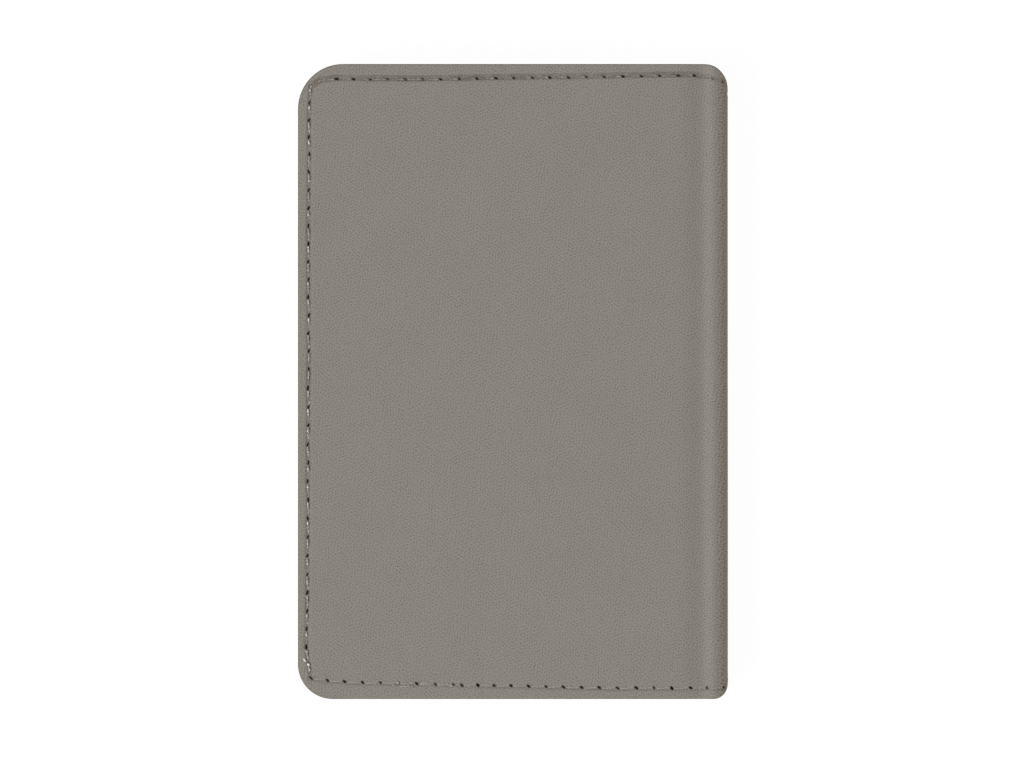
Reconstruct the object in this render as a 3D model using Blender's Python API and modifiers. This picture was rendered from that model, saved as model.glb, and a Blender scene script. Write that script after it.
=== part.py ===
"""A card wallet: a shut bifold of pebbled leather with three card pockets in each half.

It lies on its front cover with its back cover up. +X points to the spine, +Y to the mouths
of the pockets and +Z up, and the origin lies under the middle of the shut wallet. The outer
leather is one blank that is laid out flat, grooved for its seam, and folded over the two
rolls of the spine.
"""

import math

import bmesh
import bpy
from mathutils import Vector

MM = 0.001

# Driving dimensions
WIDTH = 74.5 * MM
HEIGHT = 110 * MM
LEATHER = 1.0 * MM
BOARD = 0.6 * MM
LINING = 0.3 * MM
BACKING = 0.3 * MM
POCKET_LEAF = 0.5 * MM
LAYER_GAP = 0.2 * MM
CARD_HEIGHT = 85.6 * MM
POCKETS = 3

# Corners of the outline, seen from above
OPEN_TOP_CORNER = 7.8 * MM
OPEN_BOTTOM_CORNER = 6.0 * MM
SPINE_TOP_CORNER = 4.1 * MM
SPINE_BOTTOM_CORNER = 2.45 * MM
SPINE_X = WIDTH / 2
OPEN_X = -WIDTH / 2
TOP_Y = HEIGHT / 2
BOTTOM_Y = -HEIGHT / 2

# The seams
STITCH = 3.07 * MM
THREAD_RADIUS = 0.15 * MM
THREAD_CLEARANCE = 0.13 * MM
SEAM_TOP_INSET = 2.4 * MM
SEAM_OPEN_INSET = 2.0 * MM
SEAM_BOTTOM_INSET = 2.7 * MM
SEAM_CORNER = 2.5 * MM
BOBBIN_RISE = 0.1 * MM

# The layers of one half, each by its depth under the cover's outer skin
BOARD_DEPTH = LEATHER + LAYER_GAP
LINING_DEPTH = BOARD_DEPTH + BOARD + LAYER_GAP
LINING_FACE = LINING_DEPTH + LINING
BACKING_DEPTH = LINING_FACE + LAYER_GAP
BACKING_FACE = BACKING_DEPTH + BACKING
POCKET_LAYER = LAYER_GAP + POCKET_LEAF
STACK = BACKING_FACE + POCKETS * POCKET_LAYER
MOUTH_GAP = 2 * (THREAD_CLEARANCE + 2 * THREAD_RADIUS + BOBBIN_RISE) + THREAD_CLEARANCE
MIDDLE = STACK + MOUTH_GAP / 2

# The folds: the blank rolls over each corner of the spine and dips in a groove beside it
ROLL_CORE = 0.2 * MM
ROLL_RADIUS = LINING_FACE + ROLL_CORE
GROOVE_DEPTH = 0.35 * MM
GROOVE_RISE = 2.3 * MM
GROOVE_FALL = 4.9 * MM
GROOVE_VALLEY = ROLL_RADIUS + GROOVE_RISE
GROOVE_START = GROOVE_VALLEY + GROOVE_FALL
FOLD_GAP = 0.5 * MM
SPINE_HALF = MIDDLE - ROLL_RADIUS
COVER_REACH = SPINE_HALF + ROLL_RADIUS * math.pi / 2
FOLD_REACH = SPINE_HALF + ROLL_RADIUS * math.pi / 4

# The pocket panel, which stops short of the spine
PANEL_INSET = 6.0 * MM
PANEL_X = SPINE_X - PANEL_INSET
POCKET_STEP = 8.5 * MM
CARD_SHOWS = 12.3 * MM
SIDE_SEAM_INSET = 2.0 * MM
SIDE_SEAM_X = PANEL_X - SIDE_SEAM_INSET
SEAM_SPACING = 1.0 * MM

FRONT = -1
BACK = 1


def clear_scene():
    for thing in list(bpy.data.objects):
        bpy.data.objects.remove(thing, do_unlink=True)


def new_collection(name):
    collection = bpy.data.collections.new(name)
    bpy.context.scene.collection.children.link(collection)
    return collection


def plain_material(name, colour, roughness):
    material = bpy.data.materials.new(name)
    material.use_nodes = True
    shader = material.node_tree.nodes["Principled BSDF"]
    shader.inputs["Base Color"].default_value = colour
    shader.inputs["Roughness"].default_value = roughness
    shader.inputs["Metallic"].default_value = 0.0
    return material


clear_scene()
WALLET = new_collection("card_wallet")
CUTTERS = new_collection("cutters")
PEBBLED_LEATHER = plain_material("pebbled_leather", (0.246, 0.231, 0.198, 1.0), 0.6)
SEWING_THREAD = plain_material("sewing_thread", (0.33, 0.31, 0.27, 1.0), 0.7)
FIBRE_BOARD = plain_material("fibre_board", (0.30, 0.22, 0.14, 1.0), 0.9)
LINING_CLOTH = plain_material("lining_cloth", (0.10, 0.095, 0.085, 1.0), 0.9)


def even_steps(start, end, steps):
    return [start + (end - start) * step / steps for step in range(steps + 1)]


# The outline of the covers

def corner_drop(distance, radius):
    """How far a round corner pulls the top or bottom edge in, at a distance from its side."""
    if distance >= radius:
        return 0.0
    return radius - math.sqrt(max(0.0, radius**2 - (radius - distance) ** 2))


def top_edge(x):
    open_drop = corner_drop(x - OPEN_X, OPEN_TOP_CORNER)
    return TOP_Y - open_drop - corner_drop(SPINE_X - x, SPINE_TOP_CORNER)


def bottom_edge(x):
    open_drop = corner_drop(x - OPEN_X, OPEN_BOTTOM_CORNER)
    return BOTTOM_Y + open_drop + corner_drop(SPINE_X - x, SPINE_BOTTOM_CORNER)


# The skin: reach is measured along it from the middle of the spine, positive to the back cover

def groove_dip(distance):
    """How far the skin dips at a distance from the spine's face."""
    if distance <= GROOVE_VALLEY:
        share = (distance - ROLL_RADIUS) / GROOVE_RISE
    else:
        share = (GROOVE_START - distance) / GROOVE_FALL
    share = min(1.0, max(0.0, share))
    return GROOVE_DEPTH * (1 - math.cos(math.pi * share)) / 2


def skin_x(reach):
    """How far across the wallet the skin lies at a reach."""
    beyond_spine = abs(reach) - SPINE_HALF
    if beyond_spine <= 0:
        return SPINE_X
    if abs(reach) <= COVER_REACH:
        return SPINE_X - ROLL_RADIUS * (1 - math.cos(beyond_spine / ROLL_RADIUS))
    return SPINE_X - ROLL_RADIUS - (abs(reach) - COVER_REACH)


def skin_point(reach, y, depth=0.0):
    """The point at a depth under the outer skin."""
    if abs(reach) <= COVER_REACH:
        turn = max(0.0, abs(reach) - SPINE_HALF) / ROLL_RADIUS
        radius = ROLL_RADIUS - depth
        x = SPINE_X - ROLL_RADIUS + radius * math.cos(turn)
        height = min(abs(reach), SPINE_HALF) + radius * math.sin(turn)
    else:
        x = skin_x(reach)
        height = MIDDLE - groove_dip(SPINE_X - x) - depth
    return Vector((x, y, MIDDLE + math.copysign(height, reach)))


def reach_of(x):
    """The reach of a place on the flat of the back cover."""
    return COVER_REACH + SPINE_X - ROLL_RADIUS - x


def roll_and_groove_reaches(start, roll_steps=6, groove_steps=12):
    """Stations over one roll from its start and on through the groove beside it."""
    roll = even_steps(start, COVER_REACH, roll_steps)
    return roll + even_steps(COVER_REACH, reach_of(SPINE_X - GROOVE_START), groove_steps)[1:]


def open_corner_reaches(steps=9):
    """Stations through the round corners of the open side, closest at its straight edge."""
    radius = max(OPEN_TOP_CORNER, OPEN_BOTTOM_CORNER)
    turns = even_steps(0, math.pi / 2, steps)
    return [reach_of(OPEN_X + radius * (1 - math.sin(turn))) for turn in turns]


# Ways of making a piece

def ribbon(name, first_edge, second_edge, thickness, offset, collection):
    """A strip between two edges of as many points, thickened by Solidify."""
    mesh = bpy.data.meshes.new(name)
    build = bmesh.new()
    first = [build.verts.new(point) for point in first_edge]
    second = [build.verts.new(point) for point in second_edge]
    for step in range(len(first) - 1):
        build.faces.new((first[step], first[step + 1], second[step + 1], second[step]))
    build.to_mesh(mesh)
    build.free()
    piece = bpy.data.objects.new(name, mesh)
    collection.objects.link(piece)
    shell = piece.modifiers.new("thickness", "SOLIDIFY")
    shell.thickness = thickness
    shell.offset = offset
    shell.use_even_offset = True
    return piece


def cut(piece, cutter):
    """Cuts a piece with a cutter that stays out of sight."""
    cutter.hide_render = True
    cutter.display_type = "WIRE"
    groove = piece.modifiers.new(cutter.name, "BOOLEAN")
    groove.operation = "DIFFERENCE"
    groove.solver = "EXACT"
    groove.object = cutter


def box(name, low, high, collection):
    mesh = bpy.data.meshes.new(name)
    build = bmesh.new()
    bmesh.ops.create_cube(build, size=1)
    bmesh.ops.scale(build, vec=Vector(high) - Vector(low), verts=build.verts)
    build.to_mesh(mesh)
    build.free()
    piece = bpy.data.objects.new(name, mesh)
    piece.location = (Vector(high) + Vector(low)) / 2
    collection.objects.link(piece)
    return piece


def corner_points(centre_x, centre_y, radius, start_turn, steps=7):
    """A quarter circle of an outline, or its sharp corner where the radius is zero."""
    if radius <= 0:
        return [(centre_x, centre_y)]
    turns = even_steps(start_turn, start_turn - math.pi / 2, steps)
    return [(centre_x + radius * math.cos(turn), centre_y + radius * math.sin(turn)) for turn in turns]


def half_outline(right, top, corners):
    """A sheet's outline from the open side to its right edge, with four corner radii."""
    open_bottom, open_top, right_top, right_bottom = corners
    outline = corner_points(OPEN_X + open_bottom, BOTTOM_Y + open_bottom, open_bottom, -math.pi / 2)
    outline += corner_points(OPEN_X + open_top, top - open_top, open_top, math.pi)
    outline += corner_points(right - right_top, top - right_top, right_top, math.pi / 2)
    outline += corner_points(right - right_bottom, BOTTOM_Y + right_bottom, right_bottom, 0)
    return outline


def flat_sheet(name, outline, depth, thickness, half, material):
    """A sheet cut to an outline and laid at its depth in one half."""
    curve = bpy.data.curves.new(name, "CURVE")
    curve.dimensions = "2D"
    curve.fill_mode = "BOTH"
    curve.extrude = thickness / 2
    spline = curve.splines.new("POLY")
    spline.points.add(len(outline) - 1)
    for point, (x, y) in zip(spline.points, outline):
        point.co = (x, y, 0, 1)
    spline.use_cyclic_u = True
    drawn = bpy.data.objects.new(name + "_drawn", curve)
    drawn.location = (0, 0, MIDDLE + half * (MIDDLE - depth - thickness / 2))
    WALLET.objects.link(drawn)
    sheet = as_mesh(drawn, name)
    sheet.data.materials.append(material)
    return sheet


CAP_WELD = 0.001 * MM


def as_mesh(drawn, name):
    """A welded mesh in the place of a drawn curve."""
    bpy.context.view_layer.update()
    evaluated = drawn.evaluated_get(bpy.context.evaluated_depsgraph_get())
    mesh = bpy.data.meshes.new_from_object(evaluated)
    build = bmesh.new()
    build.from_mesh(mesh)
    bmesh.ops.remove_doubles(build, verts=build.verts, dist=CAP_WELD)
    build.to_mesh(mesh)
    build.free()
    solid = bpy.data.objects.new(name, mesh)
    solid.matrix_world = drawn.matrix_world
    WALLET.objects.link(solid)
    bpy.data.objects.remove(drawn, do_unlink=True)
    return solid


def thread(name, points, radius):
    """A sewing thread: one tube along its points."""
    curve = bpy.data.curves.new(name, "CURVE")
    curve.dimensions = "3D"
    curve.bevel_depth = radius
    curve.bevel_resolution = 0
    curve.use_fill_caps = True
    spline = curve.splines.new("POLY")
    spline.points.add(len(points) - 1)
    for point, place in zip(spline.points, points):
        point.co = (*place, 1)
    curve.materials.append(SEWING_THREAD)
    piece = bpy.data.objects.new(name, curve)
    WALLET.objects.link(piece)
    return piece


# Seams: each route is laid out flat, and its thread dips at every needle hole

NEEDLE_STITCH_SHARES = ((0, 1), (0.15, 0), (0.5, 0), (0.85, 0))
BOBBIN_STITCH_SHARES = ((0, 1), (0.5, 0))


def stitched(route, stitch_shares):
    """Places along a route, each with its share of the dip at a needle hole."""
    corners = [Vector(place) for place in route]
    runs = [(end - start).length for start, end in zip(corners, corners[1:])]
    stitches = max(1, round(sum(runs) / STITCH))
    pitch = sum(runs) / stitches
    marks = [(stitch + share, dip) for stitch in range(stitches) for share, dip in stitch_shares]
    places = []
    for mark, dip in marks + [(stitches, 1)]:
        left = mark * pitch
        run = 0
        while left > runs[run] and run < len(runs) - 1:
            left -= runs[run]
            run += 1
        places.append((corners[run].lerp(corners[run + 1], min(1.0, left / runs[run])), dip))
    return places


def edge_seam_route(start):
    """The edge seam of one half, from a reach near the fold round the open side and back."""
    left = OPEN_X + SEAM_OPEN_INSET + SEAM_CORNER
    upper = TOP_Y - SEAM_TOP_INSET - SEAM_CORNER
    lower = BOTTOM_Y + SEAM_BOTTOM_INSET + SEAM_CORNER
    near_spine = [start] + [reach for reach in roll_and_groove_reaches(FOLD_REACH) if reach > start]
    route = [(reach, top_edge(skin_x(reach)) - SEAM_TOP_INSET) for reach in near_spine]
    for centre_y, start_turn in ((upper, math.pi / 2), (lower, math.pi)):
        turns = even_steps(start_turn, start_turn + math.pi / 2, 6)
        for turn in turns:
            x = left + SEAM_CORNER * math.cos(turn)
            route.append((reach_of(x), centre_y + SEAM_CORNER * math.sin(turn)))
    near_spine.reverse()
    return route + [(reach, bottom_edge(skin_x(reach)) + SEAM_BOTTOM_INSET) for reach in near_spine]


def spine_seam_route(end, edge_of, inset, steps=12):
    """The edge seam where it crosses the spine, between two reaches."""
    return [(reach, edge_of(skin_x(reach)) + inset) for reach in even_steps(-end, end, steps)]


# The needle thread lies in a channel in the skin

THREAD_SINK = 0.05 * MM
STITCH_DIP = 0.12 * MM
CHANNEL_SIDE = 0.25 * MM
CHANNEL_OPENING = 0.5 * MM
THREAD_END = 0.4 * MM
CHANNEL_DEPTH = THREAD_SINK + 2 * THREAD_RADIUS + STITCH_DIP + THREAD_CLEARANCE
CHANNEL_WIDTH = 2 * (THREAD_RADIUS + CHANNEL_SIDE)


def needle_thread(name, route, half):
    """The thread of a seam on the outer skin."""
    places = stitched(route, NEEDLE_STITCH_SHARES)
    crest = THREAD_SINK + THREAD_RADIUS
    return thread(name, [skin_point(half * place.x, place.y, crest + dip * STITCH_DIP)
                         for place, dip in places], THREAD_RADIUS)


def cut_channel(name, piece, route, half):
    """The channel under a seam, cut along its route."""
    mouth = [skin_point(half * reach, y, -CHANNEL_OPENING) for reach, y in route]
    floor = [skin_point(half * reach, y, CHANNEL_DEPTH) for reach, y in route]
    cut(piece, ribbon(name, mouth, floor, CHANNEL_WIDTH, 0, CUTTERS))


def outer_leather(name, reaches, half):
    """A stretch of the outer blank between its two ends, folded to the skin's shape."""
    reaches = [half * reach for reach in reaches]
    reaches.sort()
    upper = [skin_point(reach, top_edge(skin_x(reach))) for reach in reaches]
    lower = [skin_point(reach, bottom_edge(skin_x(reach))) for reach in reaches]
    piece = ribbon(name, upper, lower, LEATHER, -1, WALLET)
    piece.data.materials.append(PEBBLED_LEATHER)
    return piece


# The bobbin threads lie on the innermost face, and step down where a leaf or the panel ends

STEP_CLEARANCE = 0.9 * MM
STEP_RUN = 1.5 * MM
GUTTER_RUN = 2.2 * MM
BOBBIN_END = 0.4 * MM


def ramp(distance, run):
    return min(1.0, max(0.0, (distance - STEP_CLEARANCE) / run))


def stop_y(pocket):
    """The line that the cards of a pocket stand on: the last one's is the edge seam."""
    return BOTTOM_Y + SEAM_BOTTOM_INSET + (POCKETS - 1 - pocket) * POCKET_STEP


def mouth_y(pocket):
    return stop_y(pocket) + CARD_HEIGHT - CARD_SHOWS


def inner_face(x, y):
    """How deep under the skin the innermost face lies."""
    leaves_passed = sum(ramp(y - mouth_y(pocket), STEP_RUN) for pocket in range(POCKETS))
    panel_face = STACK - POCKET_LAYER * leaves_passed
    return panel_face + (LINING_FACE - panel_face) * ramp(x - PANEL_X, GUTTER_RUN)


def bobbin_thread(name, places, half):
    """A thread on the innermost face, through places across the wallet."""
    points = []
    for place, dip in places:
        rise = THREAD_CLEARANCE + THREAD_RADIUS + BOBBIN_RISE * (1 - dip)
        depth = inner_face(place.x, place.y) + rise
        points.append((place.x, place.y, MIDDLE + half * (MIDDLE - depth)))
    return thread(name, points, THREAD_RADIUS)


def edge_bobbin_thread(name, half):
    route = edge_seam_route(COVER_REACH + BOBBIN_END)
    across = [(skin_x(reach), y) for reach, y in route]
    return bobbin_thread(name, stitched(across, BOBBIN_STITCH_SHARES), half)


def pocket_side_seam(name, half):
    """The seam beside the spine that closes the pockets."""
    top = TOP_Y - SEAM_TOP_INSET - SEAM_SPACING
    bottom = BOTTOM_Y + SEAM_BOTTOM_INSET + SEAM_SPACING
    route = [(SIDE_SEAM_X, top), (SIDE_SEAM_X, bottom)]
    return bobbin_thread(name, stitched(route, BOBBIN_STITCH_SHARES), half)


# The stop seams cross under the next leaf, so their finer thread is sunk in a groove

STOP_THREAD_RADIUS = 0.1 * MM
STOP_THREAD_SINK = 0.05 * MM
STOP_STITCH_DIP = 0.03 * MM
STOP_GROOVE_DEPTH = 0.3 * MM
STOP_GROOVE_SIDE = 0.2 * MM
STOP_GROOVE_END = 0.3 * MM


def pocket_face(pocket):
    """How deep under the skin a pocket leaf's own face lies."""
    return BACKING_FACE + (pocket + 1) * POCKET_LAYER


def pocket_leaf(name, pocket, half):
    outline = half_outline(PANEL_X, mouth_y(pocket), (OPEN_BOTTOM_CORNER, 0, 0, 0))
    depth = pocket_face(pocket) - POCKET_LEAF
    return flat_sheet(name, outline, depth, POCKET_LEAF, half, PEBBLED_LEATHER)


def stop_seam(name, leaf, pocket, half):
    """The hidden seam across a leaf, with the groove that it lies in."""
    start = OPEN_X + SEAM_OPEN_INSET + SEAM_SPACING
    end = SIDE_SEAM_X - SEAM_SPACING
    y = stop_y(pocket)
    face = MIDDLE + half * (MIDDLE - pocket_face(pocket))
    side = STOP_THREAD_RADIUS + STOP_GROOVE_SIDE
    levels = sorted((face + half * STOP_GROOVE_DEPTH, face - half * STOP_GROOVE_DEPTH))
    low = (start - STOP_GROOVE_END, y - side, levels[0])
    high = (end + STOP_GROOVE_END, y + side, levels[1])
    cut(leaf, box(f"groove_of_{name}", low, high, CUTTERS))
    points = []
    for place, dip in stitched([(start, y), (end, y)], BOBBIN_STITCH_SHARES):
        sink = STOP_THREAD_SINK + dip * STOP_STITCH_DIP
        points.append((place.x, place.y, face + half * sink))
    return thread(name, points, STOP_THREAD_RADIUS)


# The hinges lie on the outer skin, in the middle of each roll

def hinge(name, half):
    """An empty on the fold line, which the pieces that swing there hang on."""
    empty = bpy.data.objects.new(name, None)
    empty.location = skin_point(half * FOLD_REACH, 0)
    WALLET.objects.link(empty)
    return empty


def carry(parent, pieces):
    bpy.context.view_layer.update()
    for piece in pieces:
        piece.parent = parent
        piece.matrix_parent_inverse = parent.matrix_world.inverted()


def build_half(side, half):
    """One half of the wallet: its cover, board, lining and pocket panel, and their threads."""
    open_corners = (OPEN_BOTTOM_CORNER, OPEN_TOP_CORNER)
    start = FOLD_REACH + FOLD_GAP / 2
    cover = outer_leather(f"{side}_cover", roll_and_groove_reaches(start) + open_corner_reaches(), half)
    cut_channel(f"{side}_seam_channel", cover, edge_seam_route(FOLD_REACH), half)
    needle = needle_thread(f"{side}_edge_needle_thread", edge_seam_route(FOLD_REACH + THREAD_END), half)

    board_outline = half_outline(SPINE_X - GROOVE_START, TOP_Y, open_corners + (0, 0))
    board = flat_sheet(f"{side}_board", board_outline, BOARD_DEPTH, BOARD, half, FIBRE_BOARD)

    spine_corners = (max(0, SPINE_TOP_CORNER - ROLL_RADIUS), max(0, SPINE_BOTTOM_CORNER - ROLL_RADIUS))
    lining_outline = half_outline(SPINE_X - ROLL_RADIUS, TOP_Y, open_corners + spine_corners)
    lining = flat_sheet(f"{side}_lining", lining_outline, LINING_DEPTH, LINING, half, LINING_CLOTH)

    panel_outline = half_outline(PANEL_X, TOP_Y, open_corners + (0, 0))
    backing = flat_sheet(f"{side}_pocket_backing", panel_outline, BACKING_DEPTH, BACKING, half, LINING_CLOTH)

    pieces = [cover, needle, board, lining, backing]
    for pocket in range(POCKETS):
        leaf = pocket_leaf(f"{side}_pocket_{pocket + 1}", pocket, half)
        pieces.append(leaf)
        if pocket < POCKETS - 1:
            pieces.append(stop_seam(f"{side}_pocket_{pocket + 1}_stop_seam", leaf, pocket, half))
    pieces.append(edge_bobbin_thread(f"{side}_edge_bobbin_thread", half))
    pieces.append(pocket_side_seam(f"{side}_pocket_side_seam", half))
    return pieces


def spine_strip(name, depth, thickness, material):
    """A flat strip inside the spine, as long as the spine's leather and as wide as its flat."""
    low = (SPINE_X - depth - thickness, bottom_edge(SPINE_X), MIDDLE - SPINE_HALF)
    high = (SPINE_X - depth, top_edge(SPINE_X), MIDDLE + SPINE_HALF)
    strip = box(name, low, high, WALLET)
    strip.data.materials.append(material)
    return strip


def build_spine():
    """The spine: its leather, stiffener and lining, and the threads of the seam across it."""
    roll = even_steps(SPINE_HALF, FOLD_REACH - FOLD_GAP / 2, 6)
    leather = outer_leather("spine_leather", [-reach for reach in roll] + roll, BACK)
    pieces = [leather, spine_strip("spine_stiffener", BOARD_DEPTH, BOARD, FIBRE_BOARD),
              spine_strip("spine_lining", LINING_DEPTH, LINING, LINING_CLOTH)]
    inner_depth = LINING_FACE + THREAD_CLEARANCE + THREAD_RADIUS
    seams = (("top", top_edge, -SEAM_TOP_INSET), ("bottom", bottom_edge, SEAM_BOTTOM_INSET))
    for place, edge_of, inset in seams:
        cut_channel(f"spine_{place}_seam_channel", leather, spine_seam_route(FOLD_REACH, edge_of, inset), BACK)
        route = spine_seam_route(FOLD_REACH - THREAD_END, edge_of, inset)
        pieces.append(needle_thread(f"spine_{place}_needle_thread", route, BACK))
        route = spine_seam_route(SPINE_HALF - BOBBIN_END, edge_of, inset)
        places = stitched(route, BOBBIN_STITCH_SHARES)
        points = [skin_point(place_on.x, place_on.y, inner_depth + BOBBIN_RISE * (1 - dip))
                  for place_on, dip in places]
        pieces.append(thread(f"spine_{place}_bobbin_thread", points, THREAD_RADIUS))
    return pieces


front_hinge = hinge("front_hinge", FRONT)
back_hinge = hinge("back_hinge", BACK)
carry(front_hinge, [back_hinge])
build_half("front", FRONT)
carry(front_hinge, build_spine())
carry(back_hinge, build_half("back", BACK))
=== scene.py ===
"""A shut card wallet of pebbled leather, lying on its front cover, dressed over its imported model.

Flat pieces are laid out as a maker cuts them: reach runs along the outer skin from the middle
of the spine towards an open side, y runs from the tail to the head, and depth goes in from the
skin. The half is 1 for the back cover, which lies on top, and -1 for the front cover.
"""

import math

import bmesh
import bpy
import numpy as np
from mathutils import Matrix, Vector, geometry, kdtree, noise


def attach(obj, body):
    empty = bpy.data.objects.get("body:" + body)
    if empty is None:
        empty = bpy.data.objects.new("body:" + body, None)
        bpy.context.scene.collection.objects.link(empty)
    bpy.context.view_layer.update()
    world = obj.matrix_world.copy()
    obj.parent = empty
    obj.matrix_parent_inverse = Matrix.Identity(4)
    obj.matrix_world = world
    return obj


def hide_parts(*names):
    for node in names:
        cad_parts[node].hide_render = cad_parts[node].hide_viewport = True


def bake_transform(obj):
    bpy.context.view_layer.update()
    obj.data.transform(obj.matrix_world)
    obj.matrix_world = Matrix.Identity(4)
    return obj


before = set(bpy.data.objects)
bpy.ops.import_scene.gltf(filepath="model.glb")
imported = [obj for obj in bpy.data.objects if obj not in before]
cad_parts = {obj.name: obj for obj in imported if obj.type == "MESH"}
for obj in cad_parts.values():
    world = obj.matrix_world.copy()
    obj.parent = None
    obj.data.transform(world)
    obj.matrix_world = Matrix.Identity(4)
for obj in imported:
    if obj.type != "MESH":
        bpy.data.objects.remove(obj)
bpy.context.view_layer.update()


# The outer leather
# One blank of fine pebbled leather, 1 mm thick and about 158 by 110 mm when flat. It rolls over
# both corners of the spine, a groove is pressed beside each roll, and its cut edge is painted.
# It is netted in two pieces that meet in the middle of the spine, as each crosses one fold.

MM = 0.001
FRONT = -1
BACK = 1
SIDES = {FRONT: "front", BACK: "back"}
SPINE_X = 37.25 * MM
OPEN_X = -37.25 * MM
TOP_Y = 55 * MM
BOTTOM_Y = -55 * MM
OPEN_TOP_CORNER = 7.8 * MM
OPEN_BOTTOM_CORNER = 6.0 * MM
SPINE_TOP_CORNER = 4.1 * MM
SPINE_BOTTOM_CORNER = 2.45 * MM
LEATHER_BACK = 1.12 * MM
MIDDLE = 5.495 * MM
ROLL_RADIUS = 2.5 * MM
SPINE_HALF = MIDDLE - ROLL_RADIUS
COVER_REACH = SPINE_HALF + ROLL_RADIUS * math.pi / 2
OPEN_REACH = COVER_REACH + SPINE_X - ROLL_RADIUS - OPEN_X
GROOVE_DEPTH = 0.42 * MM
GROOVE_RISE = 1.85 * MM
GROOVE_FALL = 5.2 * MM
GROOVE_FALL_BEND = 1.6
COVER_ARRIS = 0.14 * MM
WAVE_HEIGHT = 0.025 * MM
WAVE_SIZE = 26 * MM
WAVE_SLICE = 0.5
TURN_POINTS = 22
SPINE_POINTS = 9
ROLL_POINTS = 15
EDGE_POINTS = 90
SIDE_POINTS = 120


def rows(*columns):
    """Places from columns of numbers, where a column may also be one number."""
    return np.stack(np.broadcast_arrays(*columns), axis=1)


def level(depth):
    """The same depth at every place."""
    return lambda places: np.full(len(places), depth)


def reach_of(x):
    """The reach of a place on the flat of a cover."""
    return COVER_REACH + SPINE_X - ROLL_RADIUS - x


def across(reach):
    """How far across the wallet the skin lies at a reach."""
    turn = np.clip((reach - SPINE_HALF) / ROLL_RADIUS, 0, math.pi / 2)
    return SPINE_X - ROLL_RADIUS * (1 - np.cos(turn)) - np.clip(reach - COVER_REACH, 0, None)


def corner_drop(distance, radius):
    """How far a round corner pulls the head or tail edge in, at a distance from its side."""
    rest = np.clip(radius - distance, 0, radius)
    return radius - np.sqrt(radius**2 - rest**2)


def head_edge(reach):
    """How high the blank's head edge lies at a reach."""
    x = across(reach)
    open_drop = corner_drop(x - OPEN_X, OPEN_TOP_CORNER)
    return TOP_Y - open_drop - corner_drop(SPINE_X - x, SPINE_TOP_CORNER)


def tail_edge(reach):
    """How high the blank's tail edge lies at a reach."""
    x = across(reach)
    open_drop = corner_drop(x - OPEN_X, OPEN_BOTTOM_CORNER)
    return BOTTOM_Y + open_drop + corner_drop(SPINE_X - x, SPINE_BOTTOM_CORNER)


def groove_dip(reach):
    """How far the pressed groove beside the roll dips: slowly from the cover, then up to the roll."""
    rise = np.clip((reach - COVER_REACH) / GROOVE_RISE, 0, 1)
    fall = np.clip((COVER_REACH + GROOVE_RISE + GROOVE_FALL - reach) / GROOVE_FALL, 0, 1)
    return GROOVE_DEPTH * (1 - np.cos(math.pi * np.minimum(rise, fall**GROOVE_FALL_BEND))) / 2


def lay(places, depths, half, grooved=False):
    """Flat places, laid round the spine and over a cover at their depths."""
    reach, y = places[:, 0], places[:, 1]
    turn = np.clip((reach - SPINE_HALF) / ROLL_RADIUS, 0, math.pi / 2)
    radius = ROLL_RADIUS - depths - (groove_dip(reach) if grooved else 0)
    x = SPINE_X - ROLL_RADIUS + radius * np.cos(turn) - np.clip(reach - COVER_REACH, 0, None)
    height = np.minimum(reach, SPINE_HALF) + radius * np.sin(turn)
    return rows(x, y, MIDDLE + half * height)


def lay_leather(places, depths, half):
    """Flat places of the outer leather, laid round the spine with the groove pressed in."""
    return lay(places, depths, half, grooved=True)


def corner_turn(centre_x, centre_y, radius, start):
    """A quarter circle round the open side, anticlockwise on the flat blank."""
    turns = np.linspace(start, start + math.pi / 2, TURN_POINTS)
    return rows(reach_of(centre_x) + radius * np.cos(turns), centre_y + radius * np.sin(turns))


def tail_turn():
    """The round corner of the open side at the tail."""
    radius = OPEN_BOTTOM_CORNER
    return corner_turn(OPEN_X + radius, BOTTOM_Y + radius, radius, -math.pi / 2)


def head_turn():
    """The round corner of the open side at the head."""
    radius = OPEN_TOP_CORNER
    return corner_turn(OPEN_X + radius, TOP_Y - radius, radius, 0)


def blank_outline(spine_ys):
    """The cut edge of half the blank, and which of its points lie in the middle of the spine."""
    on_spine = np.linspace(0, SPINE_HALF, SPINE_POINTS)[:-1]
    on_roll = np.linspace(SPINE_HALF, COVER_REACH, ROLL_POINTS)[:-1]
    to_tail_corner = np.linspace(COVER_REACH, reach_of(OPEN_X + OPEN_BOTTOM_CORNER), EDGE_POINTS)[:-1]
    to_head_corner = np.linspace(COVER_REACH, reach_of(OPEN_X + OPEN_TOP_CORNER), EDGE_POINTS)[:-1]
    tail = np.concatenate([on_spine, on_roll, to_tail_corner])
    head = np.concatenate([on_spine, on_roll, to_head_corner])[::-1]
    low, high = tail_turn(), head_turn()
    side_ys = np.linspace(low[-1, 1], high[0, 1], SIDE_POINTS)[1:-1]
    outline = np.concatenate([rows(tail, tail_edge(tail)), low, rows(OPEN_REACH, side_ys), high,
                              rows(head, head_edge(head)), rows(0, spine_ys)])
    return outline, outline[:, 0] <= 0


def inset(outline, joined, amount):
    """An outline drawn in by an amount, except along the middle of the spine."""
    along = np.roll(outline, -1, axis=0) - np.roll(outline, 1, axis=0)
    inward = rows(-along[:, 1], along[:, 0])
    inward[joined, 0] = 0
    length = np.linalg.norm(inward, axis=1, keepdims=True)
    return outline + amount * inward / np.maximum(length, 1e-9)


def smooth_share(value, start, end):
    """How far a value has gone from a start to an end, 0 to 1, gently at both."""
    share = np.clip((value - start) / (end - start), 0, 1)
    return share * share * (3 - 2 * share)


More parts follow.
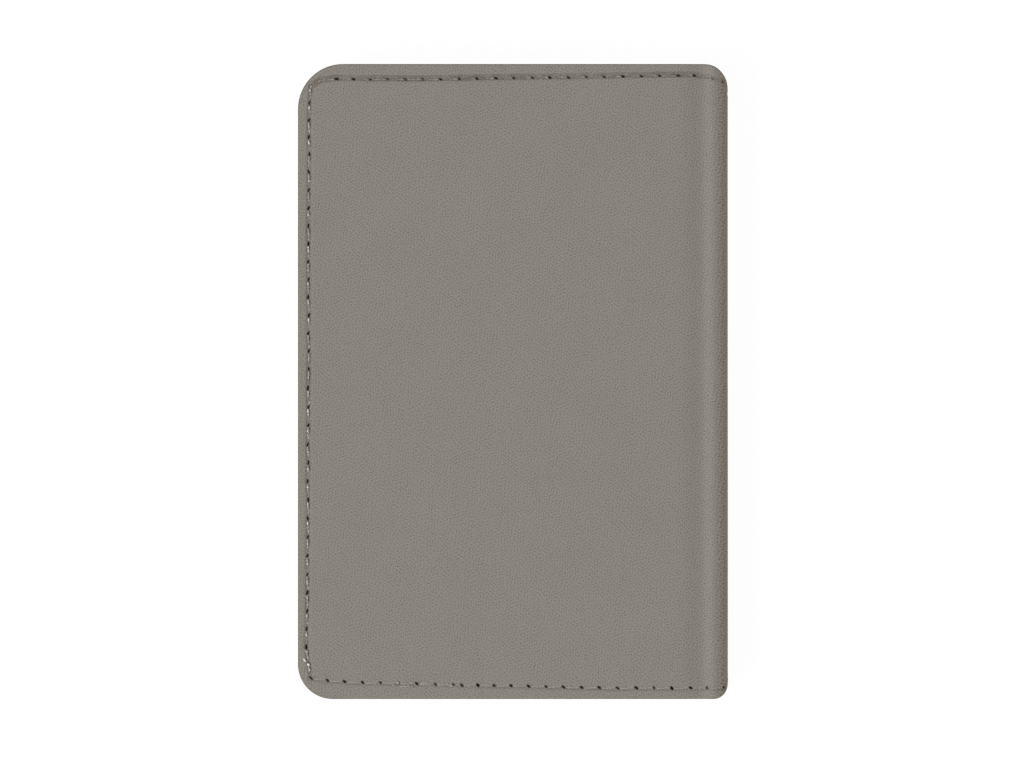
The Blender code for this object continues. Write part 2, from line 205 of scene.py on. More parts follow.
# The seam's needle holes. Each run goes on from the hole before it to its own last hole, given
# across and up the cover, in an even number of stitches. The back cover's are the photographed
# ones: a little closer at the corners, and where the seam was started and closed off at the tail.

SPINE_HEAD_HOLES = ((0, 49.2), (2.9, 49.5), (5.03, 51.98), (7.05, 52.53))
SPINE_TAIL_HOLES = ((7.97, -53.06), (4.69, -53.0), (2.5, -50.9), (0, -50.6))
BACK_RUNS = (
    (31.48, 53.02, 1), (28.76, 53.07, 1), (15.9, 52.79, 4), (0.15, 52.62, 5), (-15.6, 52.32, 5),
    (-30.6, 52.44, 5), (-33.3, 52.12, 1), (-34.85, 51.15, 1), (-35.18, 48.3, 1), (-35.36, 39.4, 3),
    (-35.42, 2.17, 12), (-35.42, -10.84, 4), (-35.62, -36.6, 8), (-35.67, -45.97, 3), (-35.45, -48.9, 1),
    (-34.9, -51.42, 1), (-32.15, -51.76, 1), (-26.05, -52.12, 2), (-13.53, -52.4, 4), (-10.2, -52.45, 1),
    (-8.78, -52.6, 1), (-0.35, -52.66, 3), (11.83, -52.99, 4), (21.36, -53.11, 3), (30.84, -53.08, 3),
)
FRONT_RUNS = (
    (31.4, 52.7, 1), (-30.7, 52.7, 20), (-33.5, 52.1, 1), (-35.1, 50.3, 1), (-35.4, 47.5, 1),
    (-35.4, -46.5, 30), (-34.9, -49.3, 1), (-33.4, -51.5, 1), (-30.75, -52.4, 1), (30.75, -52.4, 20),
)
HOLE_WANDER = 0.06 * MM
HOLE_WANDER_SHARES = (1, 0.45)


def needle_holes(runs, seed):
    """Every needle hole of one half's seam, from the spine's head round to the spine's tail."""
    chance = np.random.default_rng(seed)
    holes = list(np.array(SPINE_HEAD_HOLES) * MM)
    for x, y, stitches in runs:
        last = holes[-1]
        end = np.array((reach_of(x * MM), y * MM))
        holes += [last + (end - last) * share for share in np.arange(1, stitches + 1) / stitches]
    holes = np.array(holes + list(np.array(SPINE_TAIL_HOLES) * MM))
    holes[1:-1] += chance.normal(0, HOLE_WANDER, holes[1:-1].shape) * HOLE_WANDER_SHARES
    return holes


# The seam's relief: slanted slits that a leather needle cuts, and a narrow channel that the thread
# is pulled into. Each size is given for the head, the open side and the tail. The thread's say how
# deep and how far out it rests, past which share of a stitch it is drawn in, and how much painted
# highlight its filaments get.

SLIT_SIZES = {
    "long": np.array((0.35, 0.42, 0.36)) * MM,
    "short": np.array((0.19, 0.14, 0.22)) * MM,
    "slant": np.radians((22, 11, 40)),
    "open": np.array((0.72, 0.95, 1.0)),
    "pull": np.array((1.1, 0.64, 0.42)),
    "width": np.array((1.32, 1.25, 1.0)),
    "lean": np.array((0.22, -0.06, 0.14)) * MM,
}
THREAD_SIZES = {
    "rest": np.array((0.05, -0.06, 0.13)) * MM,
    "fall": np.array((0.27, 0.29, 0.05)) * MM,
    "held": np.array((0.2, 0.46, 0.5)),
    "thread_lean": np.array((-0.03, 0.1, 0.03)) * MM,
    # rub: the share of painted highlight specks on the thread, by run.
    "rub": np.array((0.4, 1.0, 0.12)),
}
PULL_WANDER = 0.25
SLIT_WANDER = 0.16
SLANT_WANDER = math.radians(9)
OPEN_WANDER = 0.5
CHANNEL_DEPTH = 0.3 * MM
CHANNEL_FLOOR = 0.17 * MM
CHANNEL_EDGE = 0.46 * MM
CHANNEL_PUCKER_SHARE = 0.25
CHANNEL_BREAK_SIZE = 0.9 * MM
CHANNEL_BREAK_SHARE = 0.55
CHANNEL_BREAK_SLICE = 2.5
HOLE_DEPTH = 0.62 * MM
HOLE_WALL = (0.6, 1.12)
HOLE_SHADE = (0.55, 1.15)
RIM_HEIGHT = 0.05 * MM
RIM_PLACE = 1.5
RIM_WIDTH = 0.32
RING_RADII = (0.45, 0.68, 0.84, 0.98, 1.14, 1.36, 1.6, 1.95)
RING_POINTS = 12
BURIED_FROM = SPINE_HALF - 0.2 * MM
BURIED_TO = COVER_REACH + 0.2 * MM
BURIED_PULL = 0.4
BURIED_REST = 0.42 * MM
SIDE_STEEPNESS = 0.6
BACK_SHUT_HOLES = (
    (31.48, 52.97, 0.5), (34.6, 52.53, 0.3), (36.5, 51.98, 0.45), (-33.3, 52.08, 0.2),
    (-34.85, 51.15, 0.2), (-19.8, -52.28, 0.3), (-10.2, -52.45, 0.5), (33.7, -53.06, 0.5),
    (36.65, -53, 1.0),
)


def run_of(steps):
    """The run of each step along a seam: 0 at the head, 1 down the open side, 2 at the tail."""
    down = -steps[:, 1] / np.linalg.norm(steps, axis=1)
    return np.where(down > SIDE_STEEPNESS, 1, np.where(steps[:, 0] > 0, 0, 2))


class Seam:
    """The holes of a seam, and the relief that it presses into a sheet."""

    def __init__(self, holes, shut_holes=()):
        self.holes = holes
        ahead = np.diff(holes, axis=0, append=holes[-1:] * 2 - holes[-2:-1])
        along = np.gradient(holes, axis=0)
        angles = np.arctan2(along[:, 1], along[:, 0])
        for sizes, steps in ((SLIT_SIZES, along), (THREAD_SIZES, ahead)):
            for name, of_runs in sizes.items():
                setattr(self, name, of_runs[run_of(steps)])
        chance = np.random.default_rng(len(holes))
        self.pull *= chance.uniform(1 - PULL_WANDER, 1 + PULL_WANDER, len(holes))
        self.open *= chance.uniform(1 - OPEN_WANDER, 1, len(holes))
        self.long *= chance.uniform(1 - SLIT_WANDER, 1 + SLIT_WANDER, len(holes))
        self.short *= chance.uniform(1 - SLIT_WANDER, 1 + SLIT_WANDER, len(holes))
        self.slant += chance.normal(0, SLANT_WANDER, len(holes))
        self.lengths = np.hypot(self.long * np.cos(self.slant), self.short * np.sin(self.slant))
        slants = angles + self.slant
        self.slit_ways = rows(np.cos(slants), np.sin(slants))
        over_corner = (holes[:, 0] > BURIED_FROM) & (holes[:, 0] < BURIED_TO) & (holes[:, 1] > 0)
        self.pull[over_corner] *= BURIED_PULL
        self.rest[over_corner] = BURIED_REST
        for x, y, share in shut_holes:
            shut = np.hypot(across(holes[:, 0]) - x * MM, holes[:, 1] - y * MM).argmin()
            self.open[shut] = share

    def stitches(self):
        """Where each stitch starts, its run to the next hole, and the way out beside it."""
        start = self.holes[:-1]
        run = self.holes[1:] - start
        side = rows(-run[:, 1], run[:, 0]) / np.linalg.norm(run, axis=1, keepdims=True)
        return start, run, side

    def from_holes(self, places):
        """How far places lie from the nearest hole, in its half widths, and how open it is."""
        away = places[:, None, :] - self.holes[None, :, :]
        cos, sin = self.slit_ways.T
        long_way = (away[:, :, 0] * cos + away[:, :, 1] * sin) / self.long
        short_way = (away[:, :, 1] * cos - away[:, :, 0] * sin) / self.short
        far = np.hypot(long_way, short_way)
        nearest = far.argmin(axis=1)
        return far[np.arange(len(places)), nearest], self.open[nearest]

    def channel(self, places):
        """The channel's share of its full depth at each place."""
        start, run, side = self.stitches()
        share = ((places[:, None, :] - start) * run).sum(axis=2) / (run**2).sum(axis=1)
        share = np.clip(share, 0, 1)
        lean = self.lean[:-1] * (1 - share) + self.lean[1:] * share
        foot = start + share[:, :, None] * run + lean[:, :, None] * side
        away = np.linalg.norm(places[:, None, :] - foot, axis=2)
        nearest = away.argmin(axis=1)
        pick = np.arange(len(places))
        along = share[pick, nearest]
        pull = self.pull[nearest] * (1 - along) + self.pull[nearest + 1] * along
        pucker = 1 - CHANNEL_PUCKER_SHARE * (1 - np.abs(2 * along - 1) ** 2)
        from_middle = away[pick, nearest] / self.width[nearest]
        return pull * pucker * (1 - smooth_share(from_middle, CHANNEL_FLOOR, CHANNEL_EDGE))

    def relief(self, places, share=1.0):
        """How deep the seam presses a sheet at its places."""
        channel = self.channel(places)
        for number in np.nonzero(channel)[0]:
            reach, y = places[number] / CHANNEL_BREAK_SIZE
            breaks = noise.noise(Vector((reach, y, CHANNEL_BREAK_SLICE)))
            channel[number] *= 1 + CHANNEL_BREAK_SHARE * breaks
        far, is_open = self.from_holes(places)
        pits = is_open * (1 - smooth_share(far, *HOLE_WALL))
        rims = is_open * np.exp(-(((far - RIM_PLACE) / RIM_WIDTH) ** 2))
        return share * (CHANNEL_DEPTH * channel + HOLE_DEPTH * pits - RIM_HEIGHT * rims)

    def hole_shade(self, places):
        """How much painted shade a place of the sheet gets inside a hole, 0 to 1."""
        far, is_open = self.from_holes(places)
        return is_open * (1 - smooth_share(far, *HOLE_SHADE))

    def places(self, lines, steps):
        """Rings of places in and round each hole, and places along each stitch beside the seam."""
        start, run, side = self.stitches()
        beside = [start + run * share + side * (self.lean[:-1, None] + line)
                  for share in np.linspace(0, 1, steps)[:-1] for line in lines]
        rings = [self.holes]
        cos, sin = self.slit_ways.T
        for radius in RING_RADII:
            for turn in np.linspace(0, 2 * math.pi, RING_POINTS + 1)[:-1]:
                long_way = radius * self.long * math.cos(turn)
                short_way = radius * self.short * math.sin(turn)
                turned = rows(long_way * cos - short_way * sin, long_way * sin + short_way * cos)
                rings.append(self.holes + turned)
        return np.concatenate(rings), np.concatenate(beside)


def spread_out(groups):
    """Places from several groups, where each keeps its gap from those of the groups before it."""
    kept = groups[0][0]
    for places, gap in groups[1:]:
        tree = kdtree.KDTree(len(kept))
        for number, (reach, y) in enumerate(kept):
            tree.insert((reach, y, 0), number)
        tree.balance()
        clear = [tree.find((reach, y, 0))[2] > gap for reach, y in places]
        kept = np.concatenate([kept, places[clear]])
    return kept


def within(places, outline, gap):
    """Those places that lie inside an outline and keep a gap from it."""
    ahead = np.roll(outline, -1, axis=0)
    crosses = (outline[:, 1] > places[:, None, 1]) != (ahead[:, 1] > places[:, None, 1])
    rise = np.where(ahead[:, 1] == outline[:, 1], 1e-12, ahead[:, 1] - outline[:, 1])
    meets = outline[:, 0] + (places[:, None, 1] - outline[:, 1]) * (ahead[:, 0] - outline[:, 0]) / rise
    inside = (crosses & (places[:, None, 0] < meets)).sum(axis=1) % 2 == 1
    run = ahead - outline
    share = ((places[:, None, :] - outline) * run).sum(axis=2) / np.maximum((run**2).sum(axis=1), 1e-18)
    foot = outline + np.clip(share, 0, 1)[:, :, None] * run
    away = np.linalg.norm(places[:, None, :] - foot, axis=2).min(axis=1)
    return places[inside & (away > gap)]


def lattice(reaches, ys):
    """A place at every crossing of the reaches and ys."""
    return np.array([(reach, y) for reach in reaches for y in ys])


def net(outline, inside):
    """Triangles between an outline and the places inside it, netted on the flat in millimetres."""
    places = np.concatenate([outline, inside])
    count = len(outline)
    edges = [(number, (number + 1) % count) for number in range(count)]
    drawn = [Vector(place) for place in places / MM]
    found, _, faces, origins, _, _ = geometry.delaunay_2d_cdt(drawn, edges, [], 1, 1e-5)
    number_of = {source: number for number, sources in enumerate(origins) for source in sources}
    border = [number_of[number] for number in range(count)]
    return np.array([tuple(place) for place in found]) * MM, [tuple(face) for face in faces], border


SHARP_CORNER = math.radians(55)
SHOULDER = 0.3
HIDDEN_PLACES = 1500
HIDDEN_GAP = 0.6 * MM


def put_in_scene(name, data, materials=()):
    """A new object of a mesh, a lamp or a camera, with its materials."""
    for material in materials:
        data.materials.append(material)
    piece = bpy.data.objects.new(name, data)
    bpy.context.scene.collection.objects.link(piece)
    return piece


def strip(ring, next_ring):
    """The four-sided faces between two rings of points."""
    return list(zip(ring, next_ring, next_ring[1:] + next_ring[:1], ring[1:] + ring[:1]))


def cut_sheet(name, outline, joined, inside, seen, hidden, arris, lay_down, half, materials,
              marks=None):
    """A closed sheet between the depths of its seen and hidden faces, with a rounded cut edge."""
    inward = 1 if np.mean(hidden(outline)) > np.mean(seen(outline)) else -1
    border_place = inset(outline, joined, arris)
    places, faces, border = net(border_place, inside)
    depths = seen(places)
    flat = [places]
    points = [lay_down(places, depths, half)]
    seen_faces = len(faces)
    ring = border
    levels = [(SHOULDER, seen, SHOULDER), (0, seen, 1), (0, hidden, -1), (SHOULDER, hidden, -SHOULDER)]
    out = outline - inset(outline, joined, 1.0)
    for share_in, face_depth, share_down in levels:
        start = sum(len(part) for part in points)
        ring_place = inset(outline, joined, arris * share_in)
        ring_depth = face_depth(ring_place) + inward * arris * share_down
        points.append(lay_down(ring_place, ring_depth, half))
        flat.append(ring_place + out * np.abs(ring_depth - seen(ring_place))[:, None])
        next_ring = list(range(start, start + len(outline)))
        faces += strip(ring, next_ring)
        ring = next_ring
    start = sum(len(part) for part in points)
    sparse = within(inside[:: max(1, len(inside) // HIDDEN_PLACES)], outline, HIDDEN_GAP)
    hidden_places, hidden_faces, hidden_border = net(border_place, sparse)
    points.append(lay_down(hidden_places, hidden(hidden_places), half))
    flat.append(hidden_places)
    faces += strip(ring, [start + place for place in hidden_border])
    faces += [tuple(start + corner for corner in reversed(face)) for face in hidden_faces]
    points = np.concatenate(points)
    flat = np.concatenate(flat)
    mesh = bpy.data.meshes.new(name)
    mesh.from_pydata(points.tolist(), [], faces)
    mesh.polygons.foreach_set("material_index", [0] * seen_faces + [1] * (len(faces) - seen_faces))
    build = bmesh.new()
    build.from_mesh(mesh)
    bmesh.ops.recalc_face_normals(build, faces=build.faces)
    laid = build.loops.layers.uv.new("blank")
    for face in build.faces:
        face.smooth = True
        for loop in face.loops:
            loop[laid].uv = flat[loop.vert.index]
    for edge in build.edges:
        if len(edge.link_faces) == 2 and edge.calc_face_angle(0) > SHARP_CORNER:
            edge.smooth = False
    build.to_mesh(mesh)
    build.free()
    for mark, amount in (marks or {}).items():
        amounts = np.zeros(len(points), np.float32)
        amounts[: len(places)] = amount(places)
        mesh.attributes.new(mark, "FLOAT", "POINT").data.foreach_set("value", amounts)
    return put_in_scene(name, mesh, materials)


# The leather's finish: a soft grey-brown, with close round pits in a slightly lighter net, the pits
# painted darker as shade. It is warmer and its pits are pulled open where it stretches over the roll,
# with deeper painted shade in them there, and it is darker where the seam is pressed in, partly the
# pressed leather and partly painted shade in the channel. Painted shade fills the needle holes. Its
# cut edge is painted a darker brown, rubbed lighter in places.

LEATHER_COLOUR = (0.262, 0.2427, 0.2057, 1)
# Painted shade: the colour of the grain's pits.
PIT_SHADE_COLOUR = (0.1676, 0.1553, 0.1316, 1)
# Darker where the seam is pressed in: partly the pressed leather, partly painted shade in the channel.
PRESSED_AND_SHADE_TINT = (0.795, 0.741, 0.721, 1)
# Deeper painted shade for the pits pulled open over the roll.
DEEP_PIT_SHADE_COLOUR = (0.134, 0.1242, 0.1053, 1)
STRETCHED_TINT = (1.103, 1.033, 0.965, 1)
ROLL_PULL = 1.2 * MM
# Painted shade inside the needle holes, and on the thread where it goes down into them.
PAINTED_HOLE_SHADE = (0.022, 0.019, 0.015, 1)
PITS_PER_MM = 2.15
PIT_BAND = 1.6
PIT_ROWS = (0.2, 0.2 + math.pi / 3, 0.2 + 2 * math.pi / 3)
PIT_EDGE = (1.08, 1.8)
PIT_FALL = 1.3
PIT_DEPTH = 0.03 * MM
MOTTLE_SIZE = 9 * MM
MOTTLE_SHARE = 0.03
# Size and range of the patchy darkening in the channel: pressed leather and painted shade.
PRESSED_AND_SHADE_SIZE = 0.6 * MM
PRESSED_AND_SHADE_SHARES = (0.7, 1.75)
CLOUD_SPAN = (0.3, 0.7)
EDGE_COLOUR = (0.105, 0.094, 0.076, 1)
WORN_EDGE_COLOUR = (0.19, 0.172, 0.14, 1)
EDGE_RUB_SIZE = 0.7 * MM
EDGE_RUB_SPAN = (0.5, 0.75)
EDGE_RUB_DEPTH = 0.04 * MM


def add_node(tree, kind, values=(), **settings):
    """A new node with its settings, and the values of some of its inputs."""
    node = tree.nodes.new("ShaderNode" + kind)
    for name, setting in settings.items():
        setattr(node, name, setting)
    for name, value in values:
        if isinstance(value, bpy.types.NodeSocket):
            tree.links.new(value, node.inputs[name])
        else:
            node.inputs[name].default_value = value
    return node


def sum_up(tree, operation, first, second, clamp=False):
    """Two numbers or sockets put through a Math node."""
    values = ((0, first), (1, second))
    return add_node(tree, "Math", values, operation=operation, use_clamp=clamp).outputs[0]


def new_finish(name, roughness, specular):
    """A new material with its tree and its shader."""
    material = bpy.data.materials.new(name)
    material.use_nodes = True
    tree = material.node_tree
    shader = tree.nodes["Principled BSDF"]
    shader.inputs["Roughness"].default_value = roughness
    shader.inputs["Specular IOR Level"].default_value = specular
    return material, tree, shader


def in_steps(tree, place, size):
    """A place, counted in steps of a size."""
    values = ((0, place), ("Scale", 1 / size))
    return add_node(tree, "VectorMath", values, operation="SCALE").outputs[0]


def blank_place(tree, size):
    """The place on the flat blank, counted in steps of a size."""
    return in_steps(tree, add_node(tree, "UVMap", uv_map="blank").outputs[0], size)


def clouds(tree, place, scale=1.0, detail=2.0):
    """Soft random clouds, 0 to 1."""
    values = (("Vector", place), ("Scale", scale), ("Detail", detail))
    return add_node(tree, "TexNoise", values).outputs[0]


def spread(tree, value, low, high, to_low=0.0, to_high=1.0):
    """A number's way from low to high, turned smoothly into another range."""
    values = (("Value", value), ("From Min", low), ("From Max", high),
              ("To Min", to_low), ("To Max", to_high))
    return add_node(tree, "MapRange", values, interpolation_type="SMOOTHSTEP").outputs[0]


def blend_colours(tree, share, first, second, kind="MIX"):
    """The first colour, with the second one mixed or multiplied in by a share."""
    values = ((0, share), (6, first), (7, second))
    return add_node(tree, "Mix", values, data_type="RGBA", blend_type=kind).outputs[2]


def mark_on(tree, name):
    """A mark that the mesh carries at its points, 0 where it has none."""
    return add_node(tree, "Attribute", attribute_name=name).outputs["Fac"]


def finish_with(tree, shader, colour, height, strength, distance):
    """Gives a finish its colour and its fine relief."""
    tree.links.new(colour, shader.inputs["Base Color"])
    values = (("Height", height), ("Strength", strength), ("Distance", distance))
    bump = add_node(tree, "Bump", values)
    tree.links.new(bump.outputs[0], shader.inputs["Normal"])


def pebbled_leather(name):
    """Fine pebbled leather: three crossing sets of creases leave a close field of round pits."""
    material, tree, shader = new_finish(name, roughness=0.62, specular=0.35)
    pit_size = PIT_BAND / PITS_PER_MM * MM
    pull = sum_up(tree, "MULTIPLY", mark_on(tree, "pulled"), ROLL_PULL / pit_size)
    pull = add_node(tree, "CombineXYZ", (("X", pull),)).outputs[0]
    values = ((0, blank_place(tree, pit_size)), (1, pull))
    place = add_node(tree, "VectorMath", values, operation="ADD").outputs[0]
    creases = 0.0
    for turn in PIT_ROWS:
        values = (("Vector", place), ("Scale", 1.0), ("Frequency", PIT_BAND), ("Anisotropy", 1.0),
                  ("Orientation", turn))
        row = add_node(tree, "TexGabor", values, gabor_type="2D").outputs["Value"]
        creases = sum_up(tree, "ADD", row, creases)
    pits = sum_up(tree, "POWER", spread(tree, creases, *PIT_EDGE, 1.0, 0.0), PIT_FALL)
    slow = clouds(tree, blank_place(tree, MOTTLE_SIZE))
    mottle = spread(tree, slow, *CLOUD_SPAN, -MOTTLE_SHARE, MOTTLE_SHARE)
    share = sum_up(tree, "ADD", pits, mottle, clamp=True)
    stretched = mark_on(tree, "stretched")
    # Painted shade in the pits, deeper where the leather is stretched over the roll.
    deep = blend_colours(tree, stretched, PIT_SHADE_COLOUR, DEEP_PIT_SHADE_COLOUR)
    base = blend_colours(tree, share, LEATHER_COLOUR, deep)
    base = blend_colours(tree, stretched, base, STRETCHED_TINT, "MULTIPLY")
    # Darker in the seam's channel: partly the pressed leather, partly painted shade.
    pressed_and_shade = spread(tree, clouds(tree, blank_place(tree, PRESSED_AND_SHADE_SIZE)), *CLOUD_SPAN, *PRESSED_AND_SHADE_SHARES)
    pressed_and_shade = sum_up(tree, "MULTIPLY", mark_on(tree, "pressed"), pressed_and_shade, clamp=True)
    base = blend_colours(tree, pressed_and_shade, base, PRESSED_AND_SHADE_TINT, "MULTIPLY")
    # Painted shade inside the needle holes.
    base = blend_colours(tree, mark_on(tree, "hole_shade"), base, PAINTED_HOLE_SHADE)
    grain = sum_up(tree, "SUBTRACT", 1.0, pits)
    finish_with(tree, shader, base, grain, strength=1.0, distance=PIT_DEPTH)
    return material


def painted_edge(name):
    """Edge paint over cut leather, thinner and rubbed lighter in places."""
    material, tree, shader = new_finish(name, roughness=0.5, specular=0.4)
    rub = clouds(tree, blank_place(tree, EDGE_RUB_SIZE), detail=3.0)
    colour = blend_colours(tree, spread(tree, rub, *EDGE_RUB_SPAN), EDGE_COLOUR, WORN_EDGE_COLOUR)
    finish_with(tree, shader, colour, rub, strength=0.6, distance=EDGE_RUB_DEPTH)
    return material


cover_leather = pebbled_leather("pebbled_leather")
cover_edge = painted_edge("painted_leather_edge")

STRETCH_FROM = COVER_REACH - 0.4 * MM
STRETCH_TO = COVER_REACH - 1.6 * MM
SEAM_LINES = np.array((-0.85, -0.62, -0.47, -0.38, -0.29, -0.19, 0,
                       0.19, 0.29, 0.38, 0.47, 0.62, 0.85)) * MM
SEAM_STEPS = 10
SPINE_HOLE_STEPS = (-0.7, -0.5, -0.35, -0.25, -0.15, 0, 0.15, 0.25, 0.35, 0.5, 0.7)
SPINE_HOLE_CLEAR = 0.9 * MM
SPINE_LINE_POINTS = 70
EDGE_RINGS = (0.3 * MM, 0.6 * MM)
NET_BOTTOM = -54
NET_TOP = 54
NET_REACH = 78
STITCH_GAP = 0.11 * MM
RING_GAP = 0.25 * MM
FOLD_GAP = 0.22 * MM
PLAIN_GAP = 0.8 * MM


def waves(places):
    """The slight hand-made unevenness of the glued leather."""
    shape = [noise.noise(Vector((reach / WAVE_SIZE, y / WAVE_SIZE, WAVE_SLICE))) for reach, y in places]
    return WAVE_HEIGHT * np.array(shape)


def on_roll(places):
    """How far the leather is stretched round the roll, 0 to 1."""
    return smooth_share(places[:, 0], STRETCH_FROM, STRETCH_TO)


def pulled_along(places):
    """How much of its pull over the roll the leather has had, 0 on the cover to 1 on the spine."""
    return smooth_share(places[:, 0], COVER_REACH, SPINE_HALF)


def fold_blend(piece, half):
    """Bakes a piece's placement into its mesh, the same way for either half; it bends nothing."""
    if half == FRONT:
        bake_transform(piece)
    else:
        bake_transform(piece)


seams = {
    FRONT: Seam(needle_holes(FRONT_RUNS, 5)),
    BACK: Seam(needle_holes(BACK_RUNS, 11), BACK_SHUT_HOLES),
}


def spine_line(seam):
    """Places down the middle of the spine, closer where the seam's end holes lie."""
    head, tail = head_edge(np.zeros(1))[0], tail_edge(np.zeros(1))[0]
    ys = set(np.round(np.linspace(head, tail, SPINE_LINE_POINTS)[1:-1], 6))
    for hole in (seam.holes[0], seam.holes[-1]):
        ys = {y for y in ys if abs(y - hole[1]) > SPINE_HOLE_CLEAR}
        ys |= {hole[1] + step * MM for step in SPINE_HOLE_STEPS}
    return np.array(sorted(ys, reverse=True))


def plain_fill(first, step, bottom=NET_BOTTOM + 1, top=NET_TOP):
    """A lattice from a reach to the open side, all in millimetres."""
    return lattice(np.arange(first, NET_REACH, step) * MM, np.arange(bottom, top, step) * MM)


def fold_places(roll_rows, groove_rows, end, step):
    """Places over the roll and on through the groove, in rows along the spine."""
    on_roll = np.linspace(0, COVER_REACH, roll_rows)[1:]
    in_groove = np.linspace(COVER_REACH, end, groove_rows)[1:]
    return lattice(np.concatenate([on_roll, in_groove]), np.arange(NET_BOTTOM, NET_TOP, step) * MM)


for half, side in SIDES.items():
    seam = seams[half]
    outline, joined = blank_outline(spine_line(seam))
    rings, beside = seam.places(SEAM_LINES, SEAM_STEPS)
    edge_rings = np.concatenate([inset(outline, joined, amount)[~joined] for amount in EDGE_RINGS])
    fold = fold_places(roll_rows=22, groove_rows=30, end=15.5 * MM, step=1.6)
    groups = [(rings, 0), (beside, STITCH_GAP), (edge_rings, RING_GAP), (fold, FOLD_GAP),
              (plain_fill(17, 2.2), PLAIN_GAP)]
    inside = within(spread_out(groups), outline, FOLD_GAP)

    def skin(places):
        return seam.relief(places) + waves(places)

    # The marks carry the stretch over the roll, the pull, and the painted shade in the seam's channel (with
    # its pressed darkening) and needle holes.
    leather = cut_sheet(f"{side}_cover_leather", outline, joined, inside, skin, level(LEATHER_BACK),
                        COVER_ARRIS, lay_leather, half, (cover_leather, cover_edge),
                        {"stretched": on_roll, "pulled": pulled_along,
                         "pressed": seam.channel, "hole_shade": seam.hole_shade})
    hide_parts(f"{side}_cover", "spine_leather")
    fold_blend(leather, half)


# The boards and the spine's stiffener
# Grey-brown fibre board, 0.6 mm thick, that stiffens each cover. It stops short of the groove, so
# that the fold stays soft, and its open edges are cut flush with the leather and painted with it.

BOARD_FACES = (1.16 * MM, 1.9 * MM)
BOARD_SPINE_X = 27.55 * MM
BOARD_ARRIS = 0.06 * MM
BOARD_GAP = 2 * MM
SPARSE_YS = (-50, 52)
PANEL_EDGE_POINTS = 60
PANEL_SIDE_POINTS = 90
FIBRE_COLOURS = ((0.085, 0.071, 0.052, 1), (0.16, 0.135, 0.1, 1))
FIBRES_PER_M = (9000, 9000, 2500)
FIBRE_DEPTH = 0.03 * MM
FIBRE_SPAN = (0.35, 0.7)


def panel_outline(spine_side, head_y, round_head):
    """The outline of a flat panel that stops short of the spine."""
    low = tail_turn()
    high = head_turn() if round_head else np.array([(OPEN_REACH, head_y)])
    first = reach_of(spine_side)
    tail = np.linspace(first, low[0, 0], PANEL_EDGE_POINTS)[:-1]
    head = np.linspace(high[-1, 0], first, PANEL_EDGE_POINTS)[1:]
    open_ys = np.linspace(low[-1, 1], high[0, 1], PANEL_SIDE_POINTS)[1:-1]
    spine_ys = np.linspace(head_y, BOTTOM_Y, PANEL_SIDE_POINTS)[1:-1]
    return np.concatenate([rows(tail, BOTTOM_Y), low, rows(OPEN_REACH, open_ys), high,
                           rows(head, head_y), rows(first, spine_ys)])


def flat_sheet(name, outline, inside, seen, hidden, arris, half, materials, marks=None):
    """A closed sheet that lies on one half only."""
    joined = np.zeros(len(outline), bool)
    return cut_sheet(name, outline, joined, inside, seen, hidden, arris, lay, half, materials, marks)


def fibre_board(name):
    """Pressed fibre board: fine speckled fibres in a dull brown."""
    material, tree, shader = new_finish(name, roughness=0.9, specular=0.2)
    place = add_node(tree, "TexCoord").outputs["Object"]
    values = (("Vector", place), ("Scale", FIBRES_PER_M))
    fibres = clouds(tree, add_node(tree, "Mapping", values).outputs[0], detail=4.0)
    colour = blend_colours(tree, spread(tree, fibres, *FIBRE_SPAN), *FIBRE_COLOURS)
    finish_with(tree, shader, colour, fibres, strength=0.7, distance=FIBRE_DEPTH)
    return material


board_fibre = fibre_board("fibre_board")


def refinish(node, material):
    """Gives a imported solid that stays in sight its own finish."""
    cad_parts[node].data.materials.clear()
    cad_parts[node].data.materials.append(material)


board_outline = panel_outline(BOARD_SPINE_X, TOP_Y, True)
board_inside = within(plain_fill(12, 8, *SPARSE_YS), board_outline, BOARD_GAP)
for half, side in SIDES.items():
    board = flat_sheet(f"{side}_cover_board", board_outline, board_inside, level(BOARD_FACES[0]),
                       level(BOARD_FACES[1]), BOARD_ARRIS, half, (board_fibre, cover_edge))
    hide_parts(f"{side}_board")
    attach(board, f"{side}_half")

refinish("spine_stiffener", board_fibre)


# The lining
# Dark grey-brown twill, 0.3 mm thick, glued over the boards and through the gutter of the spine.
# It is cut to the blank's own outline, and in the gutter it shows between the pocket panels.

LINING_FACES = (1.95 * MM, 2.42 * MM)
CLOTH_ARRIS = 0.05 * MM
CLOTH_SEAM_SHARE = 0.25
CLOTH_GAP = 2 * MM
INNER_SEAM_STEPS = 7
GUTTER_END = 12 * MM
TWILL_STEP = 0.42 * MM
TWILL_DEPTH = 0.05 * MM
TWILL_SPAN = (0.2, 1.3)
YARN_CLOUDS = 0.35
YARN_WAVER = 0.5
YARN_PATCHES = (-0.2, 0.2)
PICK_HEIGHT = 0.35
TWILL_LIGHT = (0.125, 0.117, 0.102, 1)
TWILL_DARK = (0.062, 0.057, 0.049, 1)


